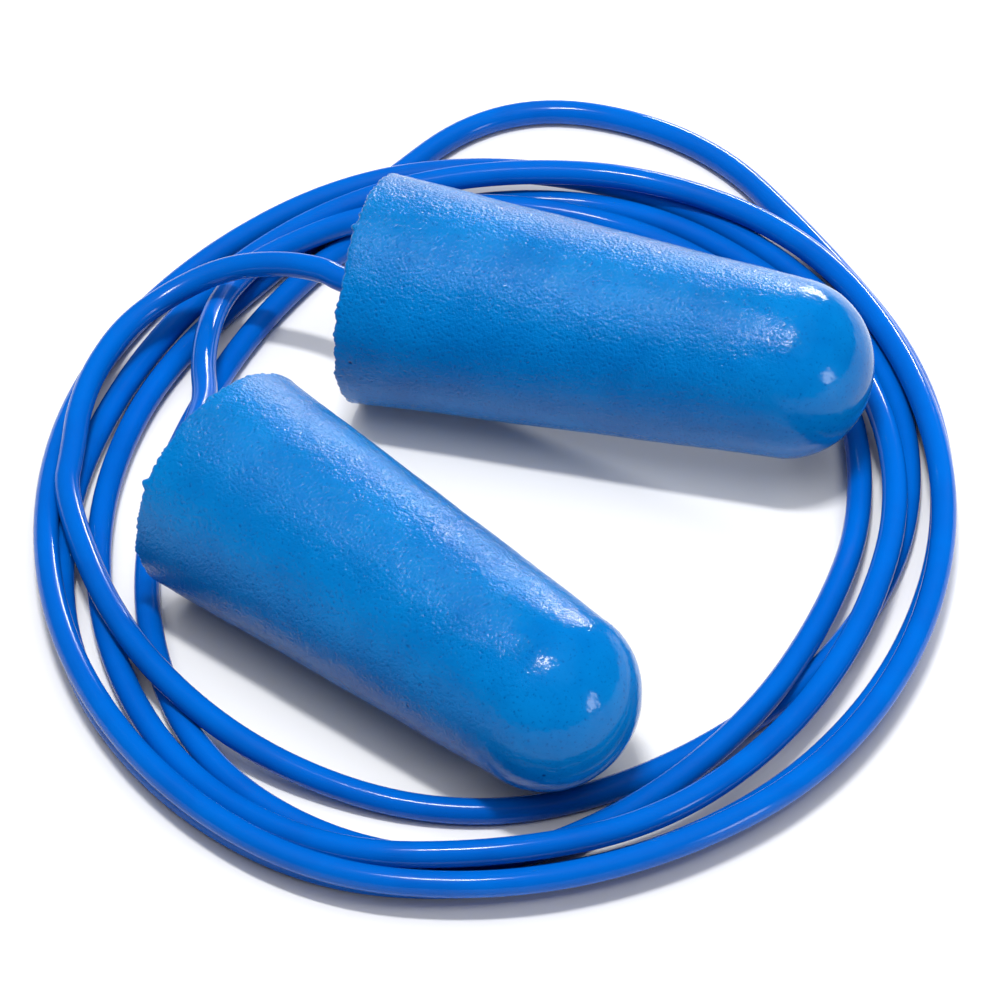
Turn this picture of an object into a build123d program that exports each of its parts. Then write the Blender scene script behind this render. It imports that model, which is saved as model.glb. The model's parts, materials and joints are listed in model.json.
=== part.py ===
from build123d import *
from math import cos, pi, radians, sin, tan
import os

# A pair of foam ear plugs on one cord, lying on a flat surface with the cord wound in a loose coil.
# Millimetres. Z is up, the surface is Z = 0, and the origin is under the middle of the two plugs.

# Foam plug, from its flat base to its round tip
base_radius = 6.0
shoulder_radius = 4.6
shoulder_at = 22.3
plug_length = 26.6

# Hole up the middle of each plug, with the steel ball at its bottom
hole_radius = 1.25
mouth_radius = 1.65
ball_radius = 1.2
ball_at = 8.3

# Cord, and the glue that holds each end in its hole
cord_radius = 0.65
glue_from = 1.0
cord_end_at = 7.0

# Where each plug lies: the middle of its base, its heading from +X and how far its tip points up
plugs = {
    "far": {"base": (-7.15, 14.32), "heading": -17.4, "lift": 0.9},
    "near": {"base": (-14.34, -0.29), "heading": -43.3, "lift": -0.6},
}

# Free stretches of the cord, after the short straight that leaves the plug's base, to inside the coil
far_lead_route = [
    (-9.6, 15.2, 5.8),
    (-12.0, 15.9, 5.3),
    (-14.7, 16.5, 4.6),
    (-17.3, 15.9, 3.9),
    (-19.6, 14.2, 3.3),
    (-21.1, 11.9, 2.8),
    (-22.0, 9.1, 2.4),
    (-22.2, 6.0, 2.0),
    (-21.9, 3.2, 1.5),
]
near_lead_route = [
    (-16.0, 2.5, 5.75),
    (-15.8, 4.8, 5.2),
    (-15.6, 7.6, 4.4),
    (-15.7, 10.8, 3.7),
    (-15.3, 14.0, 3.2),
    (-14.6, 17.0, 2.9),
    (-13.7, 19.4, 2.4),
    (-12.6, 21.5, 1.2),
]
lead_inset = 0.7
lead_straight = 1.3

# Coil: an ellipse, and how far its edges lie outside it at even steps round, starting at +X.
# The bottom layer of turns is wider than the layer on top of it.
coil_middle = (-0.5, 2.7)
coil_half_width = 21.5
coil_half_depth = 26.5
layer_height = 1.3
bottom_outer = [
    1.7, 2.1, 3.9, 6.6, 5.9, 0.9, 1.9, 2.2,
    2.0, 1.9, 2.1, 2.1, 1.0, 0.5, 0.4, 0.8,
]
bottom_inner = [
    -4.1, -2.8, -2.5, -2.2, -3.0, -4.1, -5.6, -5.7,
    -4.7, -3.6, -4.2, -5.9, -6.2, -6.3, -5.9, -5.4,
]
top_outer = [
    1.7, 1.9, 2.2, 1.2, 0.4, 0.4, -0.2, 0.6,
    2.0, 1.9, 2.1, 2.1, 1.0, 0.3, 0.3, 0.8,
]
top_inner = [
    -2.2, -1.9, -1.4, -1.2, -2.5, -3.0, -3.0, -2.4,
    -1.8, -2.3, -3.0, -2.0, -2.5, -3.5, -5.3, -4.5,
]


def plug_plane(spot):
    """Plane through the plug's axis: X along the axis, Y up, origin in the middle of the base."""
    heading = radians(spot["heading"])
    lift = radians(spot["lift"])
    axis = (cos(heading) * cos(lift), sin(heading) * cos(lift), sin(lift))
    return Plane(
        origin=(*spot["base"], base_radius * cos(lift)),
        x_dir=axis,
        z_dir=(sin(heading), -cos(heading), 0),
    )


def plug_axis(plane):
    return Axis(plane.origin, plane.x_dir)


def corner_radii(points):
    """Arc radius at each inner point of a route: 0.45 of the shorter run over the half turn's tangent."""
    radii = []
    for before, here, after in zip(points, points[1:], points[2:]):
        arriving = Vector(*here) - Vector(*before)
        leaving = Vector(*after) - Vector(*here)
        shorter = min(arriving.length, leaving.length)
        radii.append(0.45 * shorter / tan(radians(arriving.get_angle(leaving) / 2)))
    return radii


def coil_outline(offsets):
    """Points of a closed outline, one for each step round the coil's ellipse."""
    points = []
    for step, offset in enumerate(offsets):
        angle = radians(360 * step / len(offsets))
        points.append((
            coil_middle[0] + (coil_half_width + offset) * cos(angle),
            coil_middle[1] + (coil_half_depth + offset) * sin(angle),
        ))
    return points


os.makedirs("parts", exist_ok=True)

# Coil of cord: two layers of turns as one closed ring
with BuildPart() as coil:
    layers = [(0, bottom_outer, bottom_inner), (layer_height, top_outer, top_inner)]
    for height, outer, inner in layers:
        with BuildSketch(Plane.XY.offset(height)):
            with BuildLine():
                Spline(*coil_outline(outer), periodic=True)
            make_face()
            with BuildLine():
                Spline(*coil_outline(inner), periodic=True)
            make_face(mode=Mode.SUBTRACT)
        extrude(amount=layer_height)
coil.part.label = "cord_coil"
export_step(coil.part, "parts/cord_coil.step")

lead_routes = {"far": far_lead_route, "near": near_lead_route}

for side, spot in plugs.items():
    plane = plug_plane(spot)

    # Foam plug with its moulded hole, turned round its own axis
    with BuildPart() as foam:
        with BuildSketch(plane):
            with BuildLine():
                mouth_depth = mouth_radius - hole_radius
                Polyline((ball_at, hole_radius), (mouth_depth, hole_radius), (0, mouth_radius))
                Polyline((0, mouth_radius), (0, base_radius), (shoulder_at, shoulder_radius))
                EllipticalCenterArc((shoulder_at, 0), plug_length - shoulder_at, shoulder_radius, 0, arc_size=90)
                Line((plug_length, 0), (ball_at + hole_radius, 0))
                CenterArc((ball_at, 0), hole_radius, 0, 90)
            make_face()
        revolve(axis=plug_axis(plane))
    foam.part.label = f"{side}_plug_foam"
    export_step(foam.part, f"parts/{side}_plug_foam.step")

    # Steel ball that a metal detector finds
    with BuildPart() as ball:
        with Locations(plane.from_local_coords((ball_at, 0))):
            Sphere(ball_radius)
    ball.part.label = f"{side}_steel_ball"
    export_step(ball.part, f"parts/{side}_steel_ball.step")

    # Cord end inside the plug, and the sleeve of glue round it
    with BuildPart() as cord_end:
        with BuildSketch(Plane(plane.from_local_coords((cord_radius, 0)), z_dir=plane.x_dir)):
            Circle(cord_radius)
        extrude(amount=cord_end_at - cord_radius)
    cord_end.part.label = f"{side}_cord_end"
    export_step(cord_end.part, f"parts/{side}_cord_end.step")

    with BuildPart() as glue:
        with BuildSketch(Plane(plane.from_local_coords((glue_from, 0)), z_dir=plane.x_dir)):
            Circle(hole_radius)
            Circle(cord_radius, mode=Mode.SUBTRACT)
        extrude(amount=cord_end_at - glue_from)
    glue.part.label = f"{side}_glue_bond"
    export_step(glue.part, f"parts/{side}_glue_bond.step")

    # Free stretch of cord. It ends at the base in a half-round end, the pivot that the plug swings on.
    straight = [tuple(plane.from_local_coords((along, 0))) for along in (lead_inset, -lead_straight)]
    route = straight + lead_routes[side]
    radii = corner_radii(route)
    with BuildPart() as lead:
        with BuildLine() as path:
            FilletPolyline(*route, radius=radii)
        centre_line = path.wire()
        with BuildSketch(Plane(centre_line @ 0, z_dir=centre_line % 0)):
            Circle(cord_radius)
        sweep()
        section_times_length = pi * cord_radius**2 * centre_line.length
        print(f"{side} lead: radii {[round(radius, 1) for radius in radii]} mm")
        print(f"{side} lead: volume {lead.part.volume:.2f}, section x length {section_times_length:.2f} mm3")
        split(bisect_by=Plane(plane.origin, z_dir=-plane.x_dir))
        with Locations(plane.origin):
            Sphere(cord_radius)
        add(coil.part, mode=Mode.SUBTRACT)
    lead.part.label = f"{side}_cord_lead"
    export_step(lead.part, f"parts/{side}_cord_lead.step")
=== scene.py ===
import json
import math

import bmesh
import bpy
from mathutils import Matrix, Vector, noise


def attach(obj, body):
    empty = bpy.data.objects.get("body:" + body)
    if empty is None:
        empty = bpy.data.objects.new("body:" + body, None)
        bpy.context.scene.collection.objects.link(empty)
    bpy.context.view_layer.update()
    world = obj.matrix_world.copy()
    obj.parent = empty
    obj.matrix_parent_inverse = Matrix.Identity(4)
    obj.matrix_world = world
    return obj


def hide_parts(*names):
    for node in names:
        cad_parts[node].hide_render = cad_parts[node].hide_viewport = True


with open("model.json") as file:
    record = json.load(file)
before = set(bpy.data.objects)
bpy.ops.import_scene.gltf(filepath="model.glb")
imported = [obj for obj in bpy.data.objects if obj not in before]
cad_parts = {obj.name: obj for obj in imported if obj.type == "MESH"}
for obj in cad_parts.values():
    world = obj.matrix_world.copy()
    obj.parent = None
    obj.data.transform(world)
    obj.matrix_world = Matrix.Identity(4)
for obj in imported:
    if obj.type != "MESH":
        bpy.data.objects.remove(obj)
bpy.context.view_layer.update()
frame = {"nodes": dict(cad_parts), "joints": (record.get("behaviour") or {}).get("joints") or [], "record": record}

# Two foam ear plugs on one cord that lies wound in a loose coil. Metres throughout.

perMetre = 1000    # millimetres


# Camera

cameraView = {
    "place": (-0.00048, -0.2312, 0.2162),
    "aim": (-0.00048, 0.0047, 0.0),
    "lens": 226.5,          # millimetres
    "sensorWidth": 36.0,    # millimetres
    "nearest": 0.01,        # nothing nearer shows
}


def makeCamera(view):
    camera = bpy.data.objects.new("mainCamera", bpy.data.cameras.new("mainCamera"))
    camera.data.lens = view["lens"]
    camera.data.sensor_width = view["sensorWidth"]
    camera.data.clip_start = view["nearest"]
    camera.location = view["place"]
    towards = Vector(view["aim"]) - Vector(view["place"])
    camera.rotation_euler = towards.to_track_quat("-Z", "Y").to_euler()
    bpy.context.scene.collection.objects.link(camera)
    bpy.context.scene.camera = camera


makeCamera(cameraView)
print("camera placed")


# Where each plug lies

def plugPlaces():
    # the base's middle comes from the plug's hinge, its direction from the mount that goes into the ear
    places = {}
    for side in ("far", "near"):
        hinge = next(j for j in frame["joints"] if j["child"] == side + "_plug")
        mount = next(m for m in frame["record"]["mounts"] if m["name"] == side + "_ear_canal")
        places[side] = {
            "base": Vector(hinge["pos_m"]),
            "axis": -Vector(mount["axis"]).normalized(),
        }
    return places


places = plugPlaces()


# Cord

cordValues = {
    "diameter": 0.0013,
    "length": 0.75,
    "insideMouth": 0.0004,    # how far each end lies inside its plug
    "straightOut": 0.0013,    # straight stretch that leaves the plug
    "roundSegments": 10,
    "pathSteps": 14,
    # free stretches, metres, from each plug to the coil
    "farLead": [
        (-0.0096, 0.0155, 0.00625),
        (-0.0120, 0.0165, 0.00580),
        (-0.0147, 0.0171, 0.00495),
        (-0.0174, 0.0163, 0.00400),
        (-0.0197, 0.0145, 0.00340),
        (-0.0212, 0.0119, 0.00280),
        (-0.0220, 0.0091, 0.00240),
        (-0.0222, 0.0060, 0.00210),
    ],
    "nearLead": [
        (-0.0160, 0.0025, 0.00575),
        (-0.0157, 0.0048, 0.00520),
        (-0.0154, 0.0076, 0.00440),
        (-0.0157, 0.0108, 0.00370),
        (-0.0156, 0.0140, 0.00320),
        (-0.0151, 0.0170, 0.00270),
        (-0.0142, 0.0194, 0.00220),
        (-0.0130, 0.0215, 0.00195),
    ],
}

coilValues = {
    "middle": (-0.0005, 0.0027),
    "halfWidth": 0.0215,
    "halfDepth": 0.0265,
    "stepDegrees": 22.5,
    # each turn: where it starts, then at each step how far outside the ellipse and how high, millimetres
    "turns": [
        (180, [
            (0.1, 2), (-1.5, 1.95), (-3.1, 1.7), (-4.9, 0.8), (-5.7, 0.65), (-6, 0.65),
            (-5.2, 0.65), (-2.9, 0.65), (-0.9, 0.65), (0.4, 0.65), (0.4, 0.65), (0.7, 0.65),
            (-0.4, 1.8),
        ]),
        (112.5, [
            (-0.1, 1.95), (1, 0.65), (1.4, 0.65), (1.3, 1.45), (1.45, 1.95), (1.5, 1.95),
            (1.5, 1.95), (0.35, 1.95), (-0.1, 1.95), (0.4, 1.95), (0.6, 1.95), (0.9, 1.95),
            (1.1, 1.75), (1.6, 1.7), (0.4, 1.95), (-1.5, 2.45),
        ]),
        (112.5, [
            (-1.4, 1.95), (-1.3, 1.5), (-0.6, 0.65), (0.35, 0.65), (1.25, 0.65), (1.1, 0.65),
            (0.65, 0.65), (-1, 0.65), (-1.3, 0.65), (-0.8, 0.65), (-0.1, 0.65), (0.9, 0.65),
            (1.8, 0.65), (2.3, 0.65), (6.1, 0.65), (6.5, 0.65),
        ]),
        (112.5, [
            (-1, 0.65), (-2.6, 0.65), (-2, 0.65), (-1.4, 0.65), (-0.8, 0.65), (-0.3, 0.65),
            (-0.4, 1.5), (-1.9, 1.95), (-2.1, 1.95), (-2.5, 1.95), (-2.4, 1.95), (-1.5, 1.95),
            (-1.2, 1.7), (-1, 0.7), (-0.9, 0.65), (-1.7, 0.65),
        ]),
        (112.5, [
            (-2.6, 0.65), (-4.5, 0.65), (-5, 0.65), (-4.1, 0.65), (-2.9, 0.65), (-1.6, 0.65),
            (-1.65, 0.65), (-2.35, 0.65), (-4.2, 0.9), (-4.4, 1.95), (-4.5, 1.6), (-3.4, 0.65),
            (-2.2, 0.65), (-2.4, 0.65), (-2.4, 0.65), (-3, 1.4),
        ]),
        (112.5, [
            (-2.85, 1.95),
        ]),
    ],
}


def coilPoints(values):
    # the curve cuts inside its points, so they stand out by what it cuts off
    standOut = 1 / math.cos(math.radians(values["stepDegrees"] / 2))
    points = []
    for startDegrees, rows in values["turns"]:
        for step, (outside, height) in enumerate(rows):
            angle = math.radians(startDegrees + step * values["stepDegrees"])
            across = (values["halfWidth"] + outside / perMetre) * standOut
            deep = (values["halfDepth"] + outside / perMetre) * standOut
            points.append((
                values["middle"][0] + across * math.cos(angle),
                values["middle"][1] + deep * math.sin(angle),
                height / perMetre,
            ))
    return points


def makeCord(values):
    ends = []
    for side in ("far", "near"):
        base, axis = places[side]["base"], places[side]["axis"]
        inside, outside = base + axis * values["insideMouth"], base - axis * values["straightOut"]
        ends.append([tuple(inside), tuple(outside)])
    route = ends[0] + values["farLead"] + coilPoints(coilValues)
    route += values["nearLead"][::-1] + ends[1][::-1]

    curve = bpy.data.curves.new("cord", "CURVE")
    curve.dimensions = "3D"
    curve.bevel_depth = 1.0  # times each point's radius
    curve.bevel_resolution = values["roundSegments"]
    curve.resolution_u = values["pathSteps"]
    curve.use_fill_caps = True
    spline = curve.splines.new("NURBS")
    spline.points.add(len(route) - 1)
    for point, place in zip(spline.points, route):
        point.co = (*place, 1)
        point.radius = values["diameter"] / 2
    spline.order_u = 3
    spline.use_endpoint_u = True
    cord = bpy.data.objects.new("cord", curve)
    bpy.context.scene.collection.objects.link(cord)
    return cord


cord = makeCord(cordValues)
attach(cord, "cord")
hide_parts("cord_coil", "far_cord_lead", "near_cord_lead")
print("cord laid")


# Foam plugs

foamValues = {
    "baseRadius": 0.0060,
    "shoulderRadius": 0.0046,
    "shoulderAt": 0.0223,
    "length": 0.0266,
    "boreRadius": 0.00125,
    "mouthRadius": 0.00165,
    "boreEnd": 0.00955,
    "rimRound": 0.00022,
    # points round the plug, and rings along its outline in the order that it is drawn
    "segments": 360,
    "boreEndRings": 6,
    "boreWallRings": 10,
    "mouthRings": 4,
    "baseRings": 18,
    "rimRings": 5,
    "bodyRings": 170,
    "domeRings": 56,
    # slow unevenness of the moulded skin: size, and how many bumps to a millimetre
    "swell": 0.00004,
    "swellPitch": 0.33,
    # foam cells that show through the skin: size, then pitch and strength of each layer
    "lumps": 0.000012,
    "lumpLayers": [(1.6, 1.0), (3.7, 0.7), (6.5, 0.7)],
    "baseLumpPitch": 1.3,
    "baseLumpFade": 0.0006,
    # torn cells round the cut base: size, reach, then pitch, level and strength of each layer
    "nicks": 0.00013,
    "nickReachAlong": 0.0007,
    "nickReachIn": 0.0012,
    "nickLayers": [(9, 0.3, 1.0), (34, 0.9, 0.9)],
    "nickInward": 0.35,
    "wornInward": 0.1,
    # burrs left by the cut, each at an angle in radians and of a size in metres
    "burrWidth": 0.035,
    "burrOutward": 0.3,
    "burrs": {
        "far": [(1.9, 0.00022), (4.3, 0.0002)],
        "near": [(0.35, 0.00045), (2.6, 0.00025), (3.3, 0.0002)],
    },
    # where each plug reads the noise, so that no two plugs are alike
    "noiseStart": {"far": (0, 0, 0), "near": (5.3, 1.7, 8.1)},
}


def foamProfile(values):
    # along the axis and out from it, from the bottom of the bore to the tip
    base, bore, mouth = values["baseRadius"], values["boreRadius"], values["mouthRadius"]
    profile = []
    for i in range(1, values["boreEndRings"] + 1):
        turn = math.pi / 2 * i / values["boreEndRings"]
        profile.append((values["boreEnd"] - bore + bore * math.cos(turn), bore * math.sin(turn)))
    wallStart, wallEnd = values["boreEnd"] - bore, mouth - bore
    for i in range(1, values["boreWallRings"] + 1):
        profile.append((wallStart + (wallEnd - wallStart) * i / values["boreWallRings"], bore))
    for i in range(1, values["mouthRings"] + 1):
        share = i / values["mouthRings"]
        profile.append((wallEnd * (1 - share), bore + (mouth - bore) * share))
    rim = values["rimRound"]
    for i in range(1, values["baseRings"] + 1):
        profile.append((0.0, mouth + (base - rim - mouth) * i / values["baseRings"]))
    for i in range(1, values["rimRings"] + 1):
        turn = math.pi / 2 * i / values["rimRings"]
        profile.append((rim * (1 - math.cos(turn)), base - rim + rim * math.sin(turn)))
    slope = (base - values["shoulderRadius"]) / values["shoulderAt"]
    for i in range(1, values["bodyRings"] + 1):
        along = rim + (values["shoulderAt"] - rim) * i / values["bodyRings"]
        profile.append((along, base - slope * along))
    tip = values["length"] - values["shoulderAt"]
    for i in range(1, values["domeRings"]):
        turn = math.pi / 2 * i / values["domeRings"]
        profile.append((
            values["shoulderAt"] + tip * math.sin(turn),
            values["shoulderRadius"] * math.cos(turn),
        ))
    return profile


def tornRim(values, side, along, out, turn):
    # how far the cut edge of the base is torn back along the plug, and how far it stands out there
    nearRim = max(0.0, 1 - abs(along) / values["nickReachAlong"])
    nearRim *= max(0.0, 1 - abs(values["baseRadius"] - out) / values["nickReachIn"])
    if nearRim == 0:
        return 0.0, 0.0
    start = Vector(values["noiseStart"][side])
    ragged = 0.0
    for pitch, level, strength in values["nickLayers"]:
        spot = Vector((math.cos(turn) * pitch, math.sin(turn) * pitch, level)) + start
        ragged += strength * noise.noise(spot)
    tornBack = values["nicks"] * nearRim * ragged
    inward = max(0.0, values["nickInward"] * ragged + values["wornInward"])
    standsOut = -values["nicks"] * nearRim * inward
    for where, size in values["burrs"][side]:
        gap = math.remainder(turn - where, math.tau)
        burr = size * nearRim * math.exp(-(gap / values["burrWidth"]) ** 2)
        tornBack -= burr
        standsOut += values["burrOutward"] * burr
    return tornBack, standsOut


def skinRelief(values, side, along, out, turn):
    # how far the moulded skin stands out
    spot = Vector((along, out * math.cos(turn), out * math.sin(turn))) * perMetre
    spot += Vector(values["noiseStart"][side])
    standsOut = values["swell"] * noise.noise(spot * values["swellPitch"])
    for pitch, strength in values["lumpLayers"]:
        standsOut += values["lumps"] * strength * noise.noise(spot * pitch)
    return standsOut


def baseRelief(values, out, turn):
    # how uneven the cut face of the base is, fading out at the mouth of the bore
    spot = Vector((out * math.cos(turn), out * math.sin(turn), 0)) * perMetre
    fade = min(1.0, (out - values["mouthRadius"]) / values["baseLumpFade"])
    return values["lumps"] * noise.noise(spot * values["baseLumpPitch"]) * fade


def foamPoint(values, side, index, along, out, turn):
    # a point of the plug before it is turned into place; the bore stays smooth
    firstOnBase = values["boreEndRings"] + values["boreWallRings"] + values["mouthRings"]
    firstOnSkin = firstOnBase + values["baseRings"]
    if index >= firstOnBase:
        tornBack, edgeOut = tornRim(values, side, along, out, turn)
        if index >= firstOnSkin:
            out += skinRelief(values, side, along, out, turn) + edgeOut
        else:
            tornBack += baseRelief(values, out, turn)
        along += tornBack
    return along, out * math.cos(turn), out * math.sin(turn)


def turnedMesh(values, side):
    mesh = bmesh.new()
    tip = mesh.verts.new((values["length"], 0, 0))
    bottom = mesh.verts.new((values["boreEnd"], 0, 0))
    segments = values["segments"]
    rings = []
    for index, (along, out) in enumerate(foamProfile(values)):
        ring = []
        for segment in range(segments):
            turn = math.tau * segment / segments
            ring.append(mesh.verts.new(foamPoint(values, side, index, along, out, turn)))
        rings.append(ring)
    for first, second in zip(rings, rings[1:]):
        for segment in range(segments):
            after = (segment + 1) % segments
            mesh.faces.new((first[segment], second[segment], second[after], first[after]))
    for segment in range(segments):
        after = (segment + 1) % segments
        mesh.faces.new((bottom, rings[0][segment], rings[0][after]))
        mesh.faces.new((tip, rings[-1][after], rings[-1][segment]))
    bmesh.ops.recalc_face_normals(mesh, faces=mesh.faces)
    return mesh


def makePlug(side, values):
    mesh = turnedMesh(values, side)
    data = bpy.data.meshes.new(side + "PlugSkin")
    mesh.to_mesh(data)
    mesh.free()
    # how far along the plug each point lies, for its material
    alongPlug = data.attributes.new("alongPlug", "FLOAT", "POINT")
    alongPlug.data.foreach_set("value", [v.co.x / values["length"] for v in data.vertices])
    axis = places[side]["axis"]
    sideways = Vector((0, 0, 1)).cross(axis).normalized()
    upwards = axis.cross(sideways)
    turned = Matrix((axis, sideways, upwards)).transposed().to_4x4()
    data.transform(Matrix.Translation(places[side]["base"]) @ turned)
    data.polygons.foreach_set("use_smooth", [True] * len(data.polygons))
    plug = bpy.data.objects.new(side + "Plug", data)
    bpy.context.scene.collection.objects.link(plug)
    return plug


plugs = {}
for side in ("far", "near"):
    plug = makePlug(side, foamValues)
    plugs[side] = plug
    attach(plug, side + "_plug")
    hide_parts(side + "_plug_foam")
    print(side, "plug made,", len(plug.data.vertices), "points")


# Shared effects

def groupNodes(name, inputs, outputs):
    group = bpy.data.node_groups.new(name, "ShaderNodeTree")
    for label, kind, value in inputs:
        socket = group.interface.new_socket(name=label, in_out="INPUT", socket_type=kind)
        if value is not None:
            socket.default_value = value
    for label, kind in outputs:
        group.interface.new_socket(name=label, in_out="OUTPUT", socket_type=kind)
    return group, group.nodes.new("NodeGroupInput"), group.nodes.new("NodeGroupOutput")


def addNode(tree, kind, settings=None, values=None):
    node = tree.nodes.new(kind)
    for key, value in (settings or {}).items():
        setattr(node, key, value)
    for key, value in (values or {}).items():
        node.inputs[key].default_value = value
    return node


def mathNode(tree, operation, first, second=None, clamp=False):
    node = addNode(tree, "ShaderNodeMath", {"operation": operation, "use_clamp": clamp})
    for index, value in enumerate((first, second)):
        if value is None:
            continue
        if isinstance(value, (int, float)):
            node.inputs[index].default_value = value
        else:
            tree.links.new(value, node.inputs[index])
    return node.outputs[0]


def mapRange(tree, value, fromMin, fromMax, toMin, toMax):
    node = addNode(tree, "ShaderNodeMapRange")
    tree.links.new(value, node.inputs["Value"])
    ends = {"From Min": fromMin, "From Max": fromMax, "To Min": toMin, "To Max": toMax}
    for key, number in ends.items():
        node.inputs[key].default_value = number
    return node.outputs["Result"]


def mixColors(tree, factor, first, second):
    node = addNode(tree, "ShaderNodeMix", {"data_type": "RGBA"})
    firstColour, secondColour, mixed = node.inputs[6], node.inputs[7], node.outputs[2]
    tree.links.new(factor, node.inputs["Factor"])
    for socket, value in ((firstColour, first), (secondColour, second)):
        if isinstance(value, bpy.types.NodeSocket):
            tree.links.new(value, socket)
        else:
            socket.default_value = value
    return mixed


def makeFoamCells():
    # fine open cells, scattered pin holes and slow mottling of moulded foam
    group, given, result = groupNodes(
        "foamCells",
        [
            ("Vector", "NodeSocketVector", None),
            ("Cell Scale", "NodeSocketFloat", 6400.0),
            ("Pin Hole Scale", "NodeSocketFloat", 620.0),
            ("Mottle Scale", "NodeSocketFloat", 260.0),
        ],
        [
            ("Cells", "NodeSocketFloat"),
            ("Pin Holes", "NodeSocketFloat"),
            ("Mottle", "NodeSocketFloat"),
            ("Height", "NodeSocketFloat"),
        ],
    )
    tree = group
    vector = given.outputs["Vector"]

    # cells: soft grain with sharper cell walls in it
    grain = addNode(tree, "ShaderNodeTexNoise", values={"Detail": 2.0, "Roughness": 0.6})
    tree.links.new(vector, grain.inputs["Vector"])
    tree.links.new(given.outputs["Cell Scale"], grain.inputs["Scale"])
    soft = mapRange(tree, grain.outputs["Fac"], 0.3, 0.7, 0.0, 1.0)
    walls = addNode(tree, "ShaderNodeTexVoronoi", values={"Randomness": 1.0})
    tree.links.new(vector, walls.inputs["Vector"])
    tree.links.new(mathNode(tree, "MULTIPLY", given.outputs["Cell Scale"], 0.8), walls.inputs["Scale"])
    sharp = mapRange(tree, walls.outputs["Distance"], 0.05, 0.7, 0.0, 1.0)
    softPart = mathNode(tree, "MULTIPLY", soft, 0.6)
    sharpPart = mathNode(tree, "MULTIPLY", sharp, 0.4)
    cells = mathNode(tree, "ADD", softPart, sharpPart)

    # pin holes: the middles of a few large cells, picked by their random colour
    holes = addNode(tree, "ShaderNodeTexVoronoi", values={"Randomness": 1.0})
    tree.links.new(vector, holes.inputs["Vector"])
    tree.links.new(given.outputs["Pin Hole Scale"], holes.inputs["Scale"])
    middles = mapRange(tree, holes.outputs["Distance"], 0.03, 0.08, 1.0, 0.0)
    chosen = addNode(tree, "ShaderNodeSeparateColor")
    tree.links.new(holes.outputs["Color"], chosen.inputs["Color"])
    some = mapRange(tree, chosen.outputs["Red"], 0.93, 0.99, 0.0, 1.0)
    pinHoles = mathNode(tree, "MULTIPLY", middles, some, clamp=True)

    mottleNoise = addNode(tree, "ShaderNodeTexNoise", values={"Detail": 4.0, "Roughness": 0.6})
    tree.links.new(vector, mottleNoise.inputs["Vector"])
    tree.links.new(given.outputs["Mottle Scale"], mottleNoise.inputs["Scale"])
    mottle = mapRange(tree, mottleNoise.outputs["Fac"], 0.32, 0.68, 0.0, 1.0)

    height = mathNode(tree, "SUBTRACT", cells, mathNode(tree, "MULTIPLY", pinHoles, 1.6))
    tree.links.new(cells, result.inputs["Cells"])
    tree.links.new(pinHoles, result.inputs["Pin Holes"])
    tree.links.new(mottle, result.inputs["Mottle"])
    tree.links.new(height, result.inputs["Height"])
    return group


def makeFineWear():
    # faint smears and specks that break up a gloss
    group, given, result = groupNodes(
        "fineWear",
        [("Vector", "NodeSocketVector", None), ("Scale", "NodeSocketFloat", 300.0)],
        [("Smears", "NodeSocketFloat"), ("Specks", "NodeSocketFloat")],
    )
    smear = addNode(group, "ShaderNodeTexNoise", values={"Detail": 3.0, "Distortion": 0.4})
    group.links.new(given.outputs["Vector"], smear.inputs["Vector"])
    group.links.new(given.outputs["Scale"], smear.inputs["Scale"])
    smears = mapRange(group, smear.outputs["Fac"], 0.35, 0.65, 0.0, 1.0)
    group.links.new(smears, result.inputs["Smears"])
    speck = addNode(group, "ShaderNodeTexVoronoi")
    group.links.new(given.outputs["Vector"], speck.inputs["Vector"])
    group.links.new(mathNode(group, "MULTIPLY", given.outputs["Scale"], 9.0), speck.inputs["Scale"])
    specks = mapRange(group, speck.outputs["Distance"], 0.1, 0.3, 1.0, 0.0)
    group.links.new(specks, result.inputs["Specks"])
    return group


foamCells = makeFoamCells()
fineWear = makeFineWear()


def newMaterial(name):
    material = bpy.data.materials.new(name)
    material.use_nodes = True
    tree = material.node_tree
    tree.nodes.clear()
    shader = tree.nodes.new("ShaderNodeBsdfPrincipled")
    output = tree.nodes.new("ShaderNodeOutputMaterial")
    tree.links.new(shader.outputs["BSDF"], output.inputs["Surface"])
    place = tree.nodes.new("ShaderNodeTexCoord")
    return material, tree, shader, place.outputs["Object"]


def placeGroup(tree, group, vector, values):
    node = addNode(tree, "ShaderNodeGroup", {"node_tree": group}, values)
    tree.links.new(vector, node.inputs["Vector"])
    return node


def addBump(tree, shader, height):
    # height in metres
    bump = addNode(tree, "ShaderNodeBump", values={"Strength": 1.0, "Distance": 1.0})
    tree.links.new(height, bump.inputs["Height"])
    tree.links.new(bump.outputs["Normal"], shader.inputs["Normal"])


# Materials

foamLook = {
    "azure": (0.0, 0.155, 0.46, 1),
    "deepAzure": (0.0, 0.118, 0.385, 1),
    # painted shade: the colour laid into the deepest cell hollows
    "cellHollowShade": (0.0, 0.065, 0.25, 1),
    # painted shade: the colour laid into the pin holes
    "pinHoleShade": (0.0, 0.03, 0.15, 1),
    "hollowShadeAmount": 0.75,              # strength of the painted shade in the deepest cell hollows
    # cells, pin holes and mottled patches to a metre
    "cellScale": 6400.0,
    "pinHoleScale": 620.0,
    "mottleScale": 260.0,
    # the skin gets smoother from here to here, as parts of the plug's length
    "smoothFrom": 0.72,
    "smoothTo": 0.93,
    "bodyRoughness": 0.11,
    "tipRoughness": 0.10,
    "patchyRoughness": 0.05,
    "grainDepth": 0.000044,
    "tipGrainDepth": 0.0000016,
    "gloss": 0.15,
    "fuzz": 0.03,
    "fuzzRoughness": 0.25,
    "fuzzTint": (0.8, 0.85, 1.0, 1),
}


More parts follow.
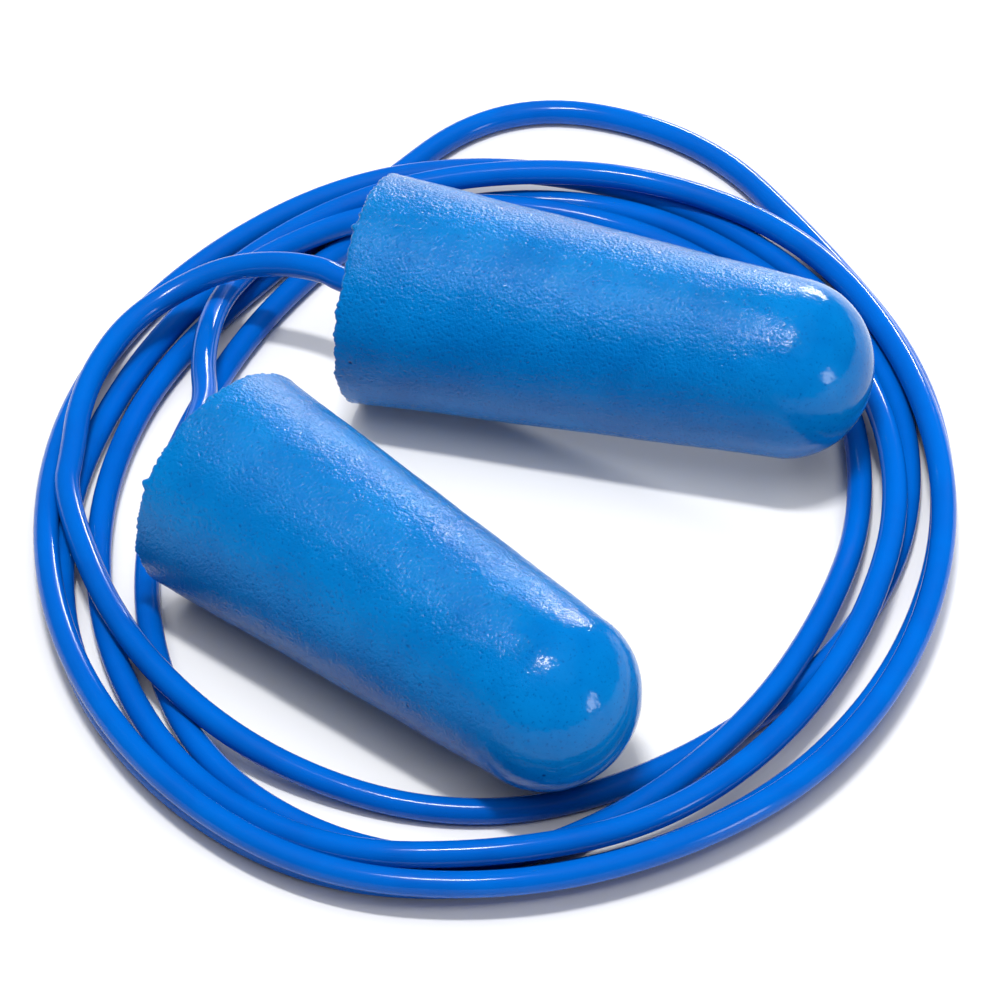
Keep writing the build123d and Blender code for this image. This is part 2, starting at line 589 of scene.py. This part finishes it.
def foamMaterial(look):
    material, tree, shader, vector = newMaterial("azureFoam")
    cells = placeGroup(tree, foamCells, vector, {
        "Cell Scale": look["cellScale"],
        "Pin Hole Scale": look["pinHoleScale"],
        "Mottle Scale": look["mottleScale"],
    })
    along = addNode(tree, "ShaderNodeAttribute", {"attribute_name": "alongPlug"}).outputs["Fac"]
    tipSkin = mapRange(tree, along, look["smoothFrom"], look["smoothTo"], 0.0, 1.0)

    body = mixColors(tree, cells.outputs["Mottle"], look["deepAzure"], look["azure"])
    # painted shade: the cell hollows are darkened in the colour, as the shade in them would be
    shadeInHollows = mapRange(tree, cells.outputs["Cells"], 0.12, 0.42, look["hollowShadeAmount"], 0.0)
    bodyWithHollowShade = mixColors(tree, shadeInHollows, body, look["cellHollowShade"])
    # painted shade: the pin holes are darkened in the colour, as the shade in them would be
    colour = mixColors(tree, cells.outputs["Pin Holes"], bodyWithHollowShade, look["pinHoleShade"])
    tree.links.new(colour, shader.inputs["Base Color"])

    patchy = mathNode(tree, "MULTIPLY", cells.outputs["Mottle"], look["patchyRoughness"])
    rough = mapRange(tree, tipSkin, 0.0, 1.0, look["bodyRoughness"], look["tipRoughness"])
    tree.links.new(mathNode(tree, "ADD", rough, patchy), shader.inputs["Roughness"])

    depth = mapRange(tree, tipSkin, 0.0, 1.0, look["grainDepth"], look["tipGrainDepth"])
    addBump(tree, shader, mathNode(tree, "MULTIPLY", cells.outputs["Height"], depth))
    shader.inputs["Specular IOR Level"].default_value = look["gloss"]
    shader.inputs["Sheen Weight"].default_value = look["fuzz"]
    shader.inputs["Sheen Roughness"].default_value = look["fuzzRoughness"]
    shader.inputs["Sheen Tint"].default_value = look["fuzzTint"]
    return material


cordLook = {
    "royal": (0.0, 0.10, 0.46, 1),
    "deepRoyal": (0.0, 0.083, 0.405, 1),
    "smearScale": 220.0,
    "smearDepth": 0.000012,
    "leastRoughness": 0.10,
    "mostRoughness": 0.19,
    "gloss": 0.16,
}


def cordMaterial(look):
    material, tree, shader, vector = newMaterial("royalBlueCord")
    smears = placeGroup(tree, fineWear, vector, {"Scale": look["smearScale"]}).outputs["Smears"]
    colour = mixColors(tree, smears, look["royal"], look["deepRoyal"])
    tree.links.new(colour, shader.inputs["Base Color"])
    rough = mapRange(tree, smears, 0.0, 1.0, look["leastRoughness"], look["mostRoughness"])
    tree.links.new(rough, shader.inputs["Roughness"])
    addBump(tree, shader, mathNode(tree, "MULTIPLY", smears, look["smearDepth"]))
    shader.inputs["Specular IOR Level"].default_value = look["gloss"]
    return material


glueLook = {
    "milky": (0.74, 0.76, 0.74, 1),
    "cloudy": (0.62, 0.66, 0.66, 1),
    "smearScale": 900.0,
    "leastRoughness": 0.2,
    "mostRoughness": 0.35,
}


def glueMaterial(look):
    material, tree, shader, vector = newMaterial("setGlue")
    smears = placeGroup(tree, fineWear, vector, {"Scale": look["smearScale"]}).outputs["Smears"]
    colour = mixColors(tree, smears, look["milky"], look["cloudy"])
    tree.links.new(colour, shader.inputs["Base Color"])
    rough = mapRange(tree, smears, 0.0, 1.0, look["leastRoughness"], look["mostRoughness"])
    tree.links.new(rough, shader.inputs["Roughness"])
    return material


steelLook = {
    "steel": (0.60, 0.61, 0.63, 1),
    "dark": (0.42, 0.43, 0.45, 1),
    "wearScale": 1600.0,
    "leastRoughness": 0.22,
    "mostRoughness": 0.42,
}


def steelMaterial(look):
    material, tree, shader, vector = newMaterial("ballSteel")
    wear = placeGroup(tree, fineWear, vector, {"Scale": look["wearScale"]}).outputs
    colour = mixColors(tree, wear["Smears"], look["steel"], look["dark"])
    tree.links.new(colour, shader.inputs["Base Color"])
    rough = mapRange(tree, wear["Specks"], 0.0, 1.0, look["leastRoughness"], look["mostRoughness"])
    tree.links.new(rough, shader.inputs["Roughness"])
    shader.inputs["Metallic"].default_value = 1.0
    return material


foam = foamMaterial(foamLook)
cordPlastic = cordMaterial(cordLook)
glue = glueMaterial(glueLook)
steel = steelMaterial(steelLook)

cord.data.materials.append(cordPlastic)
for side in ("far", "near"):
    plugs[side].data.materials.append(foam)
    for node, material in (("cord_end", cordPlastic), ("glue_bond", glue), ("steel_ball", steel)):
        carried = frame["nodes"][side + "_" + node]
        carried.data.materials.clear()
        carried.data.materials.append(material)
print("materials made")


# Floor and light

studio = {
    "floorSize": 3.0,
    "floorColour": (0.72, 0.72, 0.72, 1),
    "floorRoughness": 0.6,
    "roomLight": 0.18,
    "roomGlare": 0.05,
    # name, azimuth, elevation, distance, width, height, power, whether it shows in glossy surfaces
    "lamps": [
        ("softBox", 0, 90, 0.90, 1.30, 1.30, 9.6, False),
        ("overhead", -110, 82, 0.60, 0.12, 0.04, 2.8, True),
        ("backStrip", 72, 15, 0.60, 0.22, 0.04, 2.2, True),
        ("rightFront", -31, 12, 0.60, 0.12, 0.15, 0.9, True),
    ],
}


def makeStudio(values):
    floorMesh = bpy.data.meshes.new("floor")
    half = values["floorSize"] / 2
    corners = [(-half, -half, 0), (half, -half, 0), (half, half, 0), (-half, half, 0)]
    floorMesh.from_pydata(corners, [], [(0, 1, 2, 3)])
    floor = bpy.data.objects.new("floor", floorMesh)
    bpy.context.scene.collection.objects.link(floor)
    material, _, shader, _ = newMaterial("paleFloor")
    shader.inputs["Base Color"].default_value = values["floorColour"]
    shader.inputs["Roughness"].default_value = values["floorRoughness"]
    floorMesh.materials.append(material)

    world = bpy.data.worlds.new("softRoom")
    world.use_nodes = True
    # the room lights the matt surfaces more than it shows in the glossy ones
    room = world.node_tree
    ray = room.nodes.new("ShaderNodeLightPath")
    glossyRay = ray.outputs["Is Glossy Ray"]
    strength = mapRange(room, glossyRay, 0.0, 1.0, values["roomLight"], values["roomGlare"])
    seen = mathNode(room, "MAXIMUM", strength, ray.outputs["Is Camera Ray"])
    room.nodes["Background"].inputs["Color"].default_value = (1, 1, 1, 1)
    room.links.new(seen, room.nodes["Background"].inputs["Strength"])
    bpy.context.scene.world = world

    for name, azimuth, elevation, distance, width, height, power, glossy in values["lamps"]:
        light = bpy.data.lights.new(name, "AREA")
        light.shape = "RECTANGLE"
        light.size = width
        light.size_y = height
        light.energy = power
        lamp = bpy.data.objects.new(name, light)
        flat = math.cos(math.radians(elevation))
        towards = Vector((
            flat * math.cos(math.radians(azimuth)),
            flat * math.sin(math.radians(azimuth)),
            math.sin(math.radians(elevation)),
        ))
        lamp.location = towards * distance
        lamp.visible_glossy = glossy
        lamp.rotation_euler = towards.to_track_quat("Z", "Y").to_euler()
        bpy.context.scene.collection.objects.link(lamp)


makeStudio(studio)
bpy.context.scene.view_settings.view_transform = "Standard"
print("studio lit")

bpy.context.view_layer.update()
